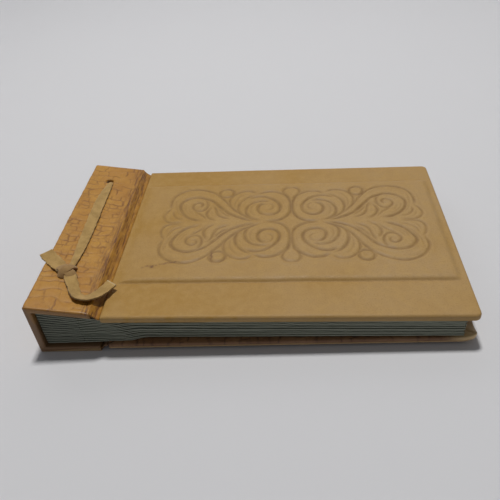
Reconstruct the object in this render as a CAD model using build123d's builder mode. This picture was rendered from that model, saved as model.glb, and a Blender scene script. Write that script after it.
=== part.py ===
from build123d import *
import math
import os

os.makedirs("parts", exist_ok=True)

# Lace-bound leather scrapbook album, lying closed on its back cover.
# +X runs from the spine to the fore-edge, +Y from the tail edge to the head edge, +Z up.
# The origin is under the middle of the album, on the surface that it lies on. Millimetres.

# ---------------------------------------------------------------- driving dimensions
album_length = 302.0  # spine face to fore-edge
album_depth = 190.5  # tail edge to head edge

binding_skin = 1.6  # embossed leather over the spine and both margins
binding_board = 2.4  # boards inside the spine and the margins
binding_lining = 1.0  # lining between the turned-in edges
margin_end = 44.4  # spine face to the hinge side of the margins
margin_step = 3.5  # the hinge side of the front margin stands this far above the front cover
board_joint = 0.8  # leather left between the spine board and a margin board
margin_turn_in = 12.0  # width of leather folded inside at the head and the tail
spine_edge_radius = 1.5

cover_start = 50.3  # spine face to the hinge edge of both covers
cover_skin = 1.2
front_board_thickness = 3.0
back_board_thickness = 2.4
cover_turn_in = 15.0
fore_corner_radius = 7.0
hinge_corner_radius = 1.5
cover_edge_radius = 1.1

panel_rise = 2.0  # padded panel under the leather of each cover
panel_tail_margin = 34.5  # tail edge of the cover to the foot of the panel
panel_head_margin = 25.8
panel_hinge_margin = 7.0
panel_fore_margin = 5.5
panel_bevel = 40.0  # degrees from upright

hinge_groove_front = 2.5  # depth of the hinge grooves below the face of the cover beside them
hinge_groove_back = 3.0
hinge_gap = 0.7  # hinge leather to the edge of a cover

# the stack of leaves sets every height: it is thinnest at the fore-edge and thickest at the spine
leaf_count = 14
leaf_thickness = 0.75
leaf_air_fore = 0.26  # space between two leaves at the fore-edge
leaf_air_hinge = 0.69  # and at the hinge
guard_thickness = 0.9
guard_air = 0.73  # space beside each guard strip at the bound edge, both sides together
leaf_fore_inset = 9.5  # fore-edge of the covers to the leaves
leaf_tail_inset_hinge = 5.5  # the leaves sit slightly askew in the covers
leaf_tail_inset_fore = 1.0
leaf_head_inset = 2.5
leaf_block_clearance = 0.35
top_crease = 54.0  # spine face to the crease of the top leaf
crease_stagger = 1.05
crease_relief = 0.6  # from a crease to the end of the leaf's fixed root
leaf_relief = 0.35  # from a crease to the start of the turning leaf
leaf_wander = 0.7  # leaves differ in length by up to this much either way

root_tail_inset = 3.0
root_start_gap = 1.2  # spine lining to the bound edge of the leaves
root_low_gap = 1.6  # back margin to the lowest root, at the bound edge
root_high_gap = 0.9  # front margin to the highest root, at the bound edge
guard_length = 27.0

hole_x = 19.0  # spine face to both lace holes
hole_tail_y = 39.6  # tail edge to the near lace hole
hole_head_inset = 25.7  # head edge to the other one
hole_radius = 3.0
lace_width = 8.5
lace_thickness = 1.2
hole_clearance = 0.8  # the lace bunches up where it passes through the holes
lace_lift = 0.05  # lace lies this far off the leather
knot_length = 17.0
knot_width = 14.0
knot_height = 5.2
knot_radius = 2.0
left_tail_length = 20.0
left_tail_turn = 123.0  # degrees from +X, seen from above
channel_clearance = 0.5
channel_depth = 1.3

# ---------------------------------------------------------------- derived places
spine_x = -album_length / 2
tail_y = -album_depth / 2
fore_x = album_length / 2
margin_thickness = binding_skin + binding_board + binding_lining
spine_wall = margin_thickness
margin_edge_x = spine_x + margin_end
cover_x = spine_x + cover_start
cover_length = fore_x - cover_x
front_thickness = 2 * cover_skin + front_board_thickness
back_thickness = 2 * cover_skin + back_board_thickness
back_cover_top = panel_rise + back_thickness
block_fore = leaf_count * (leaf_thickness + leaf_air_fore) + 2 * leaf_block_clearance
block_hinge = leaf_count * (leaf_thickness + leaf_air_hinge) + 2 * leaf_block_clearance
front_inner_z = back_cover_top + block_hinge
front_cover_top = front_inner_z + front_thickness
front_cover_fall = (block_hinge - block_fore) / cover_length
front_angle = math.degrees(math.atan(front_cover_fall))

root_start_x = spine_x + spine_wall + root_start_gap
bound_pitch = leaf_thickness + guard_thickness + guard_air
bound_stack = root_low_gap + (leaf_count - 1) * bound_pitch + root_high_gap
margin_top_start = 2 * margin_thickness + bound_stack
margin_top_end = front_cover_top + margin_step
margin_fall = (margin_top_start - margin_top_end) / (margin_edge_x - root_start_x)
spine_height = margin_top_start + margin_fall * (root_start_x - spine_x)
margin_angle = math.degrees(math.atan(margin_fall))
hole_y_tail = tail_y + hole_tail_y
hole_y_head = -tail_y - hole_head_inset
hole_points = [(spine_x + hole_x, hole_y_tail), (spine_x + hole_x, hole_y_head)]


def margin_top(x):
    """Height of the outside of the front margin at x."""
    return spine_height - margin_fall * (x - spine_x)


def front_cover_underside(x):
    """Height of the inside of the closed front cover at x."""
    return front_inner_z - front_cover_fall * (x - cover_x)


def leaf_height(index, x):
    """Height of the middle of leaf number index at x, in the closed album."""
    room = front_cover_underside(x) - back_cover_top - 2 * leaf_block_clearance
    return back_cover_top + leaf_block_clearance + (index - 0.5) * room / leaf_count


def crease_x(index):
    """Leaves bend along creases that step towards the spine, so that they can fan open."""
    return spine_x + top_crease + (leaf_count - index) * crease_stagger


def bound_height(index):
    """Height of the middle of root number index at the bound edge."""
    return margin_thickness + root_low_gap + (index - 1) * bound_pitch


front_plane = Plane(
    origin=(cover_x, 0, front_inner_z),
    x_dir=(math.cos(math.radians(front_angle)), 0, -math.sin(math.radians(front_angle))),
    z_dir=(math.sin(math.radians(front_angle)), 0, math.cos(math.radians(front_angle))),
)
back_plane = Plane(origin=(cover_x, 0, back_cover_top), x_dir=(1, 0, 0), z_dir=(0, 0, -1))
margin_plane = Plane(
    origin=(spine_x, 0, spine_height),
    x_dir=(math.cos(math.radians(margin_angle)), 0, -math.sin(math.radians(margin_angle))),
    z_dir=(math.sin(math.radians(margin_angle)), 0, math.cos(math.radians(margin_angle))),
)


def save(part, name):
    part.label = name
    export_step(part, f"parts/{name}.step")


def band(points, width):
    """A solid with the closed outline points in X and Z, centred across the album."""
    with BuildPart() as piece:
        with BuildSketch(Plane.XZ):
            with BuildLine():
                Polyline(*points, close=True)
            make_face()
        extrude(amount=width / 2, both=True)
    return piece.part


def sheet_band(start, end, thickness, width):
    """A flat sheet from start to end in X and Z, centred across the album."""
    run = Vector(end[0] - start[0], end[1] - start[1])
    side = Vector(-run.Y, run.X).normalized() * (thickness / 2)
    corners = [
        (start[0] + side.X, start[1] + side.Y),
        (end[0] + side.X, end[1] + side.Y),
        (end[0] - side.X, end[1] - side.Y),
        (start[0] - side.X, start[1] - side.Y),
    ]
    return band(corners, width)


def lace_holed(solid):
    """The solid with both lace holes through it."""
    with BuildPart() as holed:
        add(solid)
        with Locations(*[(x, y, spine_height / 2) for x, y in hole_points]):
            Cylinder(hole_radius, 2 * spine_height, mode=Mode.SUBTRACT)
    return holed.part


# ---------------------------------------------------------------- spine and margins
def wall_outline(start, end, outer, inner):
    """Outline of a layer of the front margin, from start to end along X."""
    return [
        (start, margin_top(start) - outer),
        (end, margin_top(end) - outer),
        (end, margin_top(end) - inner),
        (start, margin_top(start) - inner),
    ]


board_start = spine_x + spine_wall + board_joint
board_end = margin_edge_x - binding_skin
board_inner = binding_skin + binding_board
board_width = album_depth - 2 * binding_skin
lining_end = board_end - margin_turn_in / 2
lining_width = album_depth - 2 * margin_turn_in
spine_board_x = spine_x + binding_skin
spine_board_top = margin_top(spine_board_x + binding_board) - binding_skin

spine_board = band(
    [
        (spine_board_x, binding_skin),
        (spine_board_x + binding_board, binding_skin),
        (spine_board_x + binding_board, spine_board_top),
        (spine_board_x, spine_board_top),
    ],
    board_width,
)
spine_lining = band(
    [
        (spine_board_x + binding_board, margin_thickness),
        (spine_x + spine_wall, margin_thickness),
        (spine_x + spine_wall, margin_top(spine_x + spine_wall) - margin_thickness),
        (spine_board_x + binding_board, margin_top(spine_x + spine_wall) - margin_thickness),
    ],
    lining_width,
)
front_margin_board = lace_holed(
    band(wall_outline(board_start, board_end, binding_skin, board_inner), board_width)
)
front_margin_lining = lace_holed(
    band(wall_outline(board_start, lining_end, board_inner, margin_thickness), lining_width)
)
back_margin_board = lace_holed(
    band(
        [
            (board_start, binding_skin),
            (board_end, binding_skin),
            (board_end, board_inner),
            (board_start, board_inner),
        ],
        board_width,
    )
)
back_margin_lining = lace_holed(
    band(
        [
            (board_start, board_inner),
            (lining_end, board_inner),
            (lining_end, margin_thickness),
            (board_start, margin_thickness),
        ],
        lining_width,
    )
)

channel_width = lace_width + 2 * channel_clearance
channel_length = hole_y_head - hole_y_tail + channel_width
inner_top = margin_top(spine_x + spine_wall) - margin_thickness
with BuildPart() as binding_leather:
    with BuildSketch(Plane.XZ):
        with BuildLine():
            Polyline(
                (spine_x, 0),
                (margin_edge_x, 0),
                (margin_edge_x, margin_thickness),
                (spine_x + spine_wall, margin_thickness),
                (spine_x + spine_wall, inner_top),
                (margin_edge_x, margin_top(margin_edge_x) - margin_thickness),
                (margin_edge_x, margin_top(margin_edge_x)),
                (spine_x, spine_height),
                close=True,
            )
        make_face()
    extrude(amount=album_depth / 2, both=True)
    spine_edges = binding_leather.edges().filter_by(Axis.Y).group_by(Axis.X)[0]
    fillet(spine_edges, radius=spine_edge_radius)
    for core in (
        spine_board,
        spine_lining,
        front_margin_board,
        front_margin_lining,
        back_margin_board,
        back_margin_lining,
    ):
        add(core, mode=Mode.SUBTRACT)
    with Locations(*[(x, y, spine_height / 2) for x, y in hole_points]):
        Cylinder(hole_radius, 2 * spine_height, mode=Mode.SUBTRACT)
    # the lace lies pressed into the underside, from hole to hole
    with BuildSketch(Plane.XY):
        with Locations((spine_x + hole_x, (hole_y_tail + hole_y_head) / 2)):
            SlotOverall(channel_length, channel_width, rotation=90)
    extrude(amount=channel_depth, mode=Mode.SUBTRACT)

save(binding_leather.part, "binding_leather")
save(spine_board, "spine_board")
save(spine_lining, "spine_lining")
save(front_margin_board, "front_margin_board")
save(front_margin_lining, "front_margin_lining")
save(back_margin_board, "back_margin_board")
save(back_margin_lining, "back_margin_lining")

# ---------------------------------------------------------------- hinge leather
strip_end_x = cover_x - hinge_gap
notch_front = front_cover_top - hinge_groove_front
notch_back = panel_rise + hinge_groove_back
front_hinge_leather = band(
    [
        (margin_edge_x, margin_top(margin_edge_x)),
        (strip_end_x, notch_front),
        (strip_end_x, notch_front - binding_skin),
        (margin_edge_x, margin_top(margin_edge_x) - 1.5 * binding_skin),
    ],
    album_depth - 2 * binding_skin,
)
back_hinge_leather = band(
    [
        (margin_edge_x, 0),
        (strip_end_x, notch_back),
        (strip_end_x, notch_back + binding_skin),
        (margin_edge_x, 1.5 * binding_skin),
    ],
    album_depth - 2 * binding_skin,
)
save(front_hinge_leather, "front_hinge_leather")
save(back_hinge_leather, "back_hinge_leather")


# ---------------------------------------------------------------- covers
def cover_outline(shrink):
    """Plan of a cover in the current sketch, smaller by shrink on every side."""
    with BuildSketch(mode=Mode.PRIVATE) as plan:
        with Locations((cover_length / 2, 0)):
            Rectangle(cover_length - 2 * shrink, album_depth - 2 * shrink)
        corners = plan.vertices().group_by(Axis.X)
        fillet(corners[0], radius=hinge_corner_radius)
        fillet(plan.vertices().group_by(Axis.X)[-1], radius=fore_corner_radius - shrink)
    return plan.sketch


def panel_outline(side, grow):
    """Plan of the padded panel. side is 1 where the head is towards local +Y, or -1."""
    low = tail_y + panel_tail_margin - grow
    high = -tail_y - panel_head_margin + grow
    start = panel_hinge_margin - grow
    end = cover_length - panel_fore_margin + grow
    with BuildSketch(mode=Mode.PRIVATE) as plan:
        with Locations(((start + end) / 2, side * (low + high) / 2)):
            Rectangle(end - start, high - low)
    return plan.sketch


def cover_pieces(plane, thickness, side):
    """Board, padded panel, lining and leather of a cover whose inner face is on plane."""
    board_outer = thickness - cover_skin
    with BuildPart() as board:
        with BuildSketch(plane.offset(cover_skin)):
            add(cover_outline(cover_skin))
        extrude(amount=board_outer - cover_skin)
    with BuildPart() as panel:
        with BuildSketch(plane.offset(board_outer)):
            add(panel_outline(side, 0))
        extrude(amount=panel_rise, taper=panel_bevel)
    with BuildPart() as lining:
        with BuildSketch(plane):
            with Locations((cover_length / 2, 0)):
                Rectangle(cover_length - 2 * cover_turn_in, album_depth - 2 * cover_turn_in)
        extrude(amount=cover_skin)
    with BuildPart() as leather:
        with BuildSketch(plane):
            add(cover_outline(0))
        extrude(amount=thickness)
        flat_faces = leather.faces().sort_by(Axis(plane.origin, plane.z_dir))
        rims = flat_faces[0].edges() + flat_faces[-1].edges()
        fillet(rims, radius=cover_edge_radius)
        with BuildSketch(plane.offset(thickness)):
            add(panel_outline(side, cover_skin / 2))
        extrude(amount=panel_rise, taper=panel_bevel)
        for core in (board.part, panel.part, lining.part):
            add(core, mode=Mode.SUBTRACT)
    return board.part, panel.part, lining.part, leather.part


for cover, plane, thickness, side in (
    ("front", front_plane, front_thickness, 1),
    ("back", back_plane, back_thickness, -1),
):
    board, panel, lining, leather = cover_pieces(plane, thickness, side)
    save(board, f"{cover}_cover_board")
    save(panel, f"{cover}_cover_panel")
    save(lining, f"{cover}_cover_lining")
    save(leather, f"{cover}_cover_leather")

# ---------------------------------------------------------------- leaves and their roots
leaf_depth = album_depth - leaf_tail_inset_hinge - leaf_head_inset
root_width = album_depth - 2 * root_tail_inset
for index in range(1, leaf_count + 1):
    crease = (crease_x(index), leaf_height(index, crease_x(index)))
    fore = fore_x - leaf_fore_inset + leaf_wander * math.sin(2.4 * index)
    fore_height = leaf_height(index, fore)
    run = Vector(fore - crease[0], 0, fore_height - crease[1])
    leaf_plane = Plane(
        origin=(crease[0], 0, crease[1]), x_dir=run, z_dir=Vector(-run.Z, 0, run.X)
    )
    near_start = tail_y + leaf_tail_inset_hinge
    near_end = tail_y + leaf_tail_inset_fore
    with BuildPart() as leaf:
        with BuildSketch(leaf_plane):
            with BuildLine():
                Polyline(
                    (leaf_relief, near_start),
                    (run.length, near_end),
                    (run.length, near_end + leaf_depth),
                    (leaf_relief, near_start + leaf_depth),
                    close=True,
                )
            make_face()
        extrude(amount=leaf_thickness / 2, both=True)
    save(leaf.part, f"leaf_{index:02d}")

    bound = (root_start_x, bound_height(index))
    reach = Vector(crease[0] - bound[0], crease[1] - bound[1])
    share = 1 - crease_relief / reach.length
    root_end = (bound[0] + share * reach.X, bound[1] + share * reach.Y)
    root = lace_holed(sheet_band(bound, root_end, leaf_thickness, root_width))
    save(root, f"leaf_root_{index:02d}")

guards = []
for index in range(1, leaf_count):
    bound = (root_start_x, (bound_height(index) + bound_height(index + 1)) / 2)
    upper = (crease_x(index + 1), leaf_height(index + 1, crease_x(index + 1)))
    lower = (crease_x(index), leaf_height(index, crease_x(index)))
    middle = ((upper[0] + lower[0]) / 2, (upper[1] + lower[1]) / 2)
    reach = Vector(middle[0] - bound[0], middle[1] - bound[1])
    share = guard_length / reach.length
    guard_end = (bound[0] + share * reach.X, bound[1] + share * reach.Y)
    guards.append(lace_holed(sheet_band(bound, guard_end, guard_thickness, root_width)))
with BuildPart() as guard_strips:
    for guard in guards:
        add(guard)
save(guard_strips.part, "guard_strips")

# ---------------------------------------------------------------- lace
hole_u = hole_x / math.cos(math.radians(margin_angle))
lace_base = margin_plane.offset(lace_lift)
# flat run on the front margin, from the head hole to the knot
with BuildPart() as lace_run:
    with BuildSketch(lace_base):
        run_start = hole_y_tail + knot_width / 2
        run_end = hole_y_head
        with Locations((hole_u, (run_start + run_end) / 2)):
            Rectangle(lace_width, run_end - run_start)
    extrude(amount=lace_thickness)
save(lace_run.part, "lace_run")

with BuildPart() as lace_knot:
    with BuildSketch(lace_base):
        with Locations((hole_u, hole_y_tail)):
            RectangleRounded(knot_length, knot_width, 3 * knot_radius)
    extrude(amount=knot_height)
    fillet(lace_knot.faces().sort_by(Axis.Z)[-1].edges(), radius=knot_radius)
save(lace_knot.part, "lace_knot")

# short end of the lace, which sticks out past the spine
left_start = hole_u - knot_length / 2 + 2 * knot_radius
with BuildPart() as lace_tail_short:
    with BuildSketch(lace_base):
        turn = math.radians(left_tail_turn)
        middle_u = left_start + math.cos(turn) * left_tail_length / 2
        middle_v = hole_y_tail + knot_width / 4 + math.sin(turn) * left_tail_length / 2
        with Locations((middle_u, middle_v)):
            Rectangle(left_tail_length, lace_width, rotation=left_tail_turn)
    extrude(amount=lace_thickness)
    add(lace_knot.part, mode=Mode.SUBTRACT)
    add(lace_run.part, mode=Mode.SUBTRACT)
save(lace_tail_short.part, "lace_tail_short")

# long end of the lace, which lies over the hinge; the points are its middle line on the margin
tail_points = [(26.5, 32.5), (26.5, 20.5), (35.0, 18.5), (51.5, 30.5)]
tail_radii = [4.9, 7.5]
with BuildPart() as lace_tail_long:
    with BuildSketch(lace_base.offset(lace_lift)):
        with BuildLine():
            FilletPolyline(*[(u, v + tail_y) for u, v in tail_points], radius=tail_radii)
        trace(line_width=lace_width)
    extrude(amount=lace_thickness)
save(lace_tail_long.part, "lace_tail_long")

# hidden stretch: down one hole, along the underside and up the other
core_low = channel_depth - lace_thickness
lace_core_radius = hole_radius - hole_clearance
with BuildPart() as lace_under:
    with BuildSketch(Plane.XY.offset(core_low)):
        with Locations((spine_x + hole_x, (hole_y_tail + hole_y_head) / 2)):
            SlotOverall(channel_length - 2 * channel_clearance, lace_width, rotation=90)
    extrude(amount=lace_thickness)
    with Locations(*[(x, y, core_low + spine_height / 2) for x, y in hole_points]):
        Cylinder(lace_core_radius, spine_height)
    split(bisect_by=margin_plane.offset(lace_lift), keep=Keep.BOTTOM)
save(lace_under.part, "lace_under")
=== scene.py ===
import math

import bmesh
import bpy
import numpy as np
from mathutils import Matrix, Vector


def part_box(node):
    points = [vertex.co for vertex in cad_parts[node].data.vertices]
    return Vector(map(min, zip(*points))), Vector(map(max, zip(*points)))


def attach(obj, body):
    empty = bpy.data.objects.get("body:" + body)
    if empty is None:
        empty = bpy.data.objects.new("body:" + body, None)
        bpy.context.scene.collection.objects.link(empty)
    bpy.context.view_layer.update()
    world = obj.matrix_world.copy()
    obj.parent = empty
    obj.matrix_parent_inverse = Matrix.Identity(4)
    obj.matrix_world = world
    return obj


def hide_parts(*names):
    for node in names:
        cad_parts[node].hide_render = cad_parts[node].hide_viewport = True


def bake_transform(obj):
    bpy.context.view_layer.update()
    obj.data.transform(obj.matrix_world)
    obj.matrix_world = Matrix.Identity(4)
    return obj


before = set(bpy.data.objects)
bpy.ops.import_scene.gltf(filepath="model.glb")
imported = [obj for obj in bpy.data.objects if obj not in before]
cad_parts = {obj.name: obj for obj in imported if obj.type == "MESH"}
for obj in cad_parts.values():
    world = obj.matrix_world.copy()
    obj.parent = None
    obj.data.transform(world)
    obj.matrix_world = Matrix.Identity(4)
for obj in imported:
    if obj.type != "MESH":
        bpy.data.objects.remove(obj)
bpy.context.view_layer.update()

# Lace-bound leather scrapbook album, closed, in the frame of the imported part.
# Lengths are in millimetres in the row frame, and become metres where a mesh, light or camera is made.
MM = 0.001

# ---------------------------------------------------------------- sizes
binding_low, binding_high = np.array(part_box("binding_leather")) / MM
cover_low, cover_high = np.array(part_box("back_cover_leather")) / MM
spine_x, tail_y = binding_low[:2]
margin_edge_x, head_y, spine_height = binding_high
album_depth = head_y - tail_y
cover_x = cover_low[0]
fore_x, back_inner_z = cover_high[0], cover_high[2]
cover_length = fore_x - cover_x

skin = 1.6  # embossed leather over the boards of the binding
wall = 5.0  # spine and margins, with board, leather and lining
lining_thickness = 1.0
margin_turn_in = 12.0
cover_skin = 1.2
cover_turn_in = 15.0
front_thickness = 5.4
back_thickness = 4.8
panel_rise = 2.0
panel_tail_margin = 34.5
panel_head_margin = 25.8
panel_hinge_margin = 7.0
panel_fore_margin = 5.5
hinge_slope = 18.0  # the leather rises over the panel's hinge side in a long soft slope
hinge_slope_ahead = 3.5
fore_corner_radius = 4.5
hinge_corner_radius = 1.5
margin_step = 3.5
hinge_groove_front = 2.5
hinge_groove_back = 3.0

leaf_count = 14
leaf_thickness = 0.75
guard_thickness = 0.9
leaf_clearance = 0.35
leaf_gap = 0.69  # between the leaves, beside the hinge
bound_gap = 0.73  # between a leaf and its guard strip, both sides together
crease_from_spine = 54.0
crease_stagger = 1.05
leaf_fore_inset = 9.5
leaf_wander = 0.7
leaf_tail_inset_hinge = 5.5
leaf_tail_inset_fore = 1.0
leaf_depth = album_depth - 8.0
root_inset = 3.0
bound_x = spine_x + wall + 1.2
bound_pitch = leaf_thickness + guard_thickness + bound_gap
bound_first = wall + 1.6

hole_x = 19.0  # from the spine face
hole_radius = 3.0
hole_tail = 39.6  # from the tail edge
hole_head = album_depth - 25.7
lace_width = 8.5
lace_thickness = 1.2

front_fall = 0.023917  # the closed front cover slopes down to the fore-edge
front_inner_z = back_inner_z + leaf_count * (leaf_thickness + leaf_gap) + 2 * leaf_clearance
front_top_z = front_inner_z + front_thickness
margin_fall = (spine_height - front_top_z - margin_step) / (margin_edge_x - spine_x)


def margin_top(from_spine):
    """Height of the outside of the front margin, from_spine millimetres from the spine face."""
    return spine_height - margin_fall * from_spine


# ---------------------------------------------------------------- camera, light, floor
CAMERA_AT = (36.4, -356.3, 292.2)
CAMERA_YAW = math.radians(-6.59)
CAMERA_PITCH = math.radians(38.03)
CAMERA_ROLL = math.radians(6.02)
CAMERA_LENS = 40.39  # on a 36 mm sensor


def make_camera():
    forward = Vector((
        math.sin(CAMERA_YAW) * math.cos(CAMERA_PITCH),
        math.cos(CAMERA_YAW) * math.cos(CAMERA_PITCH),
        -math.sin(CAMERA_PITCH),
    ))
    level = Vector((math.cos(CAMERA_YAW), -math.sin(CAMERA_YAW), 0))
    down = forward.cross(level)
    right = level * math.cos(CAMERA_ROLL) + down * math.sin(CAMERA_ROLL)
    up = level * math.sin(CAMERA_ROLL) - down * math.cos(CAMERA_ROLL)
    camera = bpy.data.objects.new("camera", bpy.data.cameras.new("camera"))
    bpy.context.scene.collection.objects.link(camera)
    axes = Matrix((right, up, -forward)).transposed().to_4x4()
    camera.matrix_world = Matrix.Translation(Vector(CAMERA_AT) * MM) @ axes
    camera.data.sensor_width = 36.0
    camera.data.lens = CAMERA_LENS
    camera.data.clip_start = 0.01
    bpy.context.scene.camera = camera


def area_light(name, at, aim, size, power, colour=(1.0, 1.0, 1.0)):
    """Square soft light of that size in metres, at a point in metres and turned towards aim."""
    light = bpy.data.lights.new(name, "AREA")
    light.size = size
    light.energy = power
    light.color = colour
    lamp = bpy.data.objects.new(name, light)
    lamp.location = at
    lamp.rotation_mode = "QUATERNION"
    lamp.rotation_quaternion = (Vector(aim) - Vector(at)).to_track_quat("-Z", "Y")
    bpy.context.scene.collection.objects.link(lamp)


def make_studio():
    scene = bpy.context.scene
    scene.view_settings.view_transform = "Standard"
    world = bpy.data.worlds.new("studio")
    world.use_nodes = True
    background = world.node_tree.nodes["Background"]
    background.inputs["Color"].default_value = (0.93, 0.95, 1.0, 1)
    background.inputs["Strength"].default_value = 0.13
    scene.world = world
    area_light("overhead", (-0.03, 0.37, 2.0), (0.0, 0.0, 0.0), 0.24, 26.8, (1.0, 0.99, 0.97))
    area_light("back_left", (-1.0, 1.0, 1.1), (0.0, 0.0, 0.0), 0.6, 1.0)
    area_light("front_fill", (0.9, -1.5, 1.1), (0.0, -0.1, 0.0), 1.5, 0.8)
    # floor that sweeps up into a backdrop behind the album
    sweep_start, sweep_radius, wall_top, half_width, near = 900.0, 500.0, 1800.0, 4000.0, -4000.0
    outline = [(near, 0.0), (sweep_start, 0.0)]
    for step in range(1, 13):
        turn = math.radians(90) * step / 12
        along, up = sweep_radius * math.sin(turn), sweep_radius * (1 - math.cos(turn))
        outline.append((sweep_start + along, up))
    outline.append((sweep_start + sweep_radius, wall_top))
    points = [(side * half_width * MM, y * MM, z * MM) for side in (-1, 1) for y, z in outline]
    count = len(outline)
    faces = [(i, i + 1, count + i + 1, count + i) for i in range(count - 1)]
    mesh = bpy.data.meshes.new("floor")
    mesh.from_pydata(points, [], faces)
    mesh.polygons.foreach_set("use_smooth", [True] * len(faces))
    floor = bpy.data.objects.new("floor", mesh)
    scene.collection.objects.link(floor)
    paint = Paint("floor_paper")
    paint.put("Base Color", (0.70, 0.70, 0.72, 1))
    paint.put("Roughness", 0.9)
    paint.put("Specular IOR Level", 0.2)
    mesh.materials.append(paint.material)


# ---------------------------------------------------------------- material building
class Paint:
    """A node material under construction. Its texture space is in millimetres: the piece's own 'place'
    attribute, so that nothing slides when the piece bends, or the object's space on a CAD node."""

    def __init__(self, name, from_mesh=True):
        self.material = bpy.data.materials.new(name)
        self.material.use_nodes = True
        self.tree = self.material.node_tree
        self.shader = self.tree.nodes["Principled BSDF"]
        if from_mesh:
            self.at = self.node("ShaderNodeAttribute", attribute_name="place").outputs["Vector"]
        else:
            space = self.node("ShaderNodeTexCoord").outputs["Object"]
            inputs = {0: space, "Scale": 1 / MM}
            self.at = self.node("ShaderNodeVectorMath", inputs, operation="SCALE").outputs[0]

    def fill(self, socket, value):
        """Gives a socket a plain value, or links an output to it."""
        if isinstance(value, bpy.types.NodeSocket):
            self.tree.links.new(value, socket)
        else:
            socket.default_value = value

    def node(self, kind, inputs=None, **settings):
        """A new node with those settings and inputs."""
        made = self.tree.nodes.new(kind)
        for key, value in settings.items():
            setattr(made, key, value)
        for key, value in (inputs or {}).items():
            self.fill(made.inputs[key], value)
        return made

    def put(self, name, value):
        """Sets or links one of the shader's own sockets."""
        self.fill(self.shader.inputs[name], value)

    def field(self, name):
        """A number stored on the mesh."""
        return self.node("ShaderNodeAttribute", attribute_name=name).outputs["Fac"]

    def along(self, axis):
        """One coordinate of the texture space."""
        return self.node("ShaderNodeSeparateXYZ", {0: self.at}).outputs[axis]

    def stretched(self, factors):
        """The texture space, scaled by three factors."""
        inputs = {"Vector": self.at, "Scale": factors}
        return self.node("ShaderNodeMapping", inputs).outputs["Vector"]

    def noise(self, size, detail=3.0, roughness=0.55, at=None):
        """Noise from 0 to 1, whose features are about size millimetres."""
        inputs = {"Vector": at or self.at, "Scale": 1 / size, "Detail": detail, "Roughness": roughness}
        return self.node("ShaderNodeTexNoise", inputs).outputs["Fac"]

    def cells(self, size, feature):
        """Distance in a cell pattern with cells of about size millimetres."""
        inputs = {"Vector": self.at, "Scale": 1 / size}
        return self.node("ShaderNodeTexVoronoi", inputs, feature=feature).outputs["Distance"]

    def spread(self, value, low, high, to_low=0.0, to_high=1.0):
        """value from low..high onto to_low..to_high, clamped."""
        inputs = {"Value": value, "From Min": low, "From Max": high, "To Min": to_low, "To Max": to_high}
        return self.node("ShaderNodeMapRange", inputs).outputs["Result"]

    def patches(self, size, detail, low, high, to_low=0.0, to_high=1.0, **more):
        """Noise whose low..high is spread onto to_low..to_high."""
        return self.spread(self.noise(size, detail, **more), low, high, to_low, to_high)

    def calc(self, operation, first, second):
        """Math on two outputs."""
        return self.node("ShaderNodeMath", {0: first, 1: second}, operation=operation).outputs[0]

    def mix(self, share, first, second):
        """Colour mix by share, of two colours or outputs."""
        made = self.node("ShaderNodeMix", data_type="RGBA")
        shown = [socket for socket in made.inputs if socket.enabled]
        self.fill(next(socket for socket in shown if socket.name == "Factor"), share)
        for socket, value in zip([s for s in shown if s.type == "RGBA"], (first, second)):
            self.fill(socket, (*value, 1) if isinstance(value, tuple) else value)
        return next(s for s in made.outputs if s.enabled and s.type == "RGBA")

    def coat(self, share, colour):
        """Lays a colour over the base colour so far."""
        self.base = self.mix(share, self.base, colour)

    def coat_field(self, name, strength, colour):
        """Lays a colour where a number stored on the mesh is high."""
        self.coat(self.spread(self.field(name), 0.0, 1.0, 0.0, strength), colour)

    def surface(self, gloss, roughness, specular):
        """Finishes the base colour, a roughness that follows gloss, and the specular level."""
        self.put("Base Color", self.base)
        self.put("Roughness", self.spread(gloss, 0.3, 0.7, *roughness))
        self.put("Specular IOR Level", specular)

    def bumps(self, *layers):
        """Bump from (height, strength, depth in millimetres) layers, one on another."""
        under = {}
        for height, strength, depth in layers:
            inputs = {"Height": height, "Strength": strength, "Distance": depth * MM, **under}
            under = {"Normal": self.node("ShaderNodeBump", inputs).outputs["Normal"]}
        self.put("Normal", under["Normal"])


def tooled_leather():
    """Pale tan calf of the front cover: pebbled grain, blotches, tooling that took more stain, and
    painted sheen, light and shade.
    """
    paint = Paint("tooled_leather")
    # paler towards the fore-edge and over the padded panel: painted sheen, with random tone added by the
    # noise
    tone_and_sheen = paint.spread(paint.along(0), 30.0, 230.0)
    tone_and_sheen = paint.calc("ADD", tone_and_sheen, paint.patches(48, 3, 0.30, 0.70, -0.35, 0.35, roughness=0.5))
    tone_and_sheen = paint.calc("ADD", tone_and_sheen, paint.spread(paint.field("panel"), 0.0, 1.0, 0.0, 0.30))
    paint.base = paint.mix(paint.spread(tone_and_sheen, 0.0, 1.2), (0.375, 0.205, 0.036), (0.415, 0.262, 0.104))
    paint.coat(paint.patches(6, 4, 0.40, 0.68, 0.0, 0.42, roughness=0.6), (0.475, 0.298, 0.098))
    paint.coat(paint.patches(1.1, 2, 0.50, 0.70, 0.0, 0.35, roughness=0.6), (0.27, 0.148, 0.038))
    # darker in the tool lines, which took more stain, and painted shade in the crease at the panel's
    # foot
    rubbed = paint.patches(9, 3, 0.36, 0.60, 0.45, 0.80)
    paint.coat(paint.calc("MULTIPLY", paint.field("tool"), rubbed), (0.215, 0.118, 0.036))
    # the cover's side faces and rim take their own tone through the edge mark: painted light
    worn = paint.patches(7, 3, 0.35, 0.6)
    paint.coat(paint.calc("MULTIPLY", paint.field("edge"), worn), (0.40, 0.245, 0.088))
    paint.coat(paint.field("stain"), (0.13, 0.05, 0.022))
    paint.surface(paint.noise(6, 3), (0.50, 0.66), 0.38)
    paint.bumps(
        (paint.noise(9, 4, 0.6), 0.35, 0.5),
        (paint.cells(0.95, "SMOOTH_F1"), 0.32, 0.18),
        (paint.noise(0.5, 2), 0.25, 0.1),
    )
    return paint.material


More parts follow.
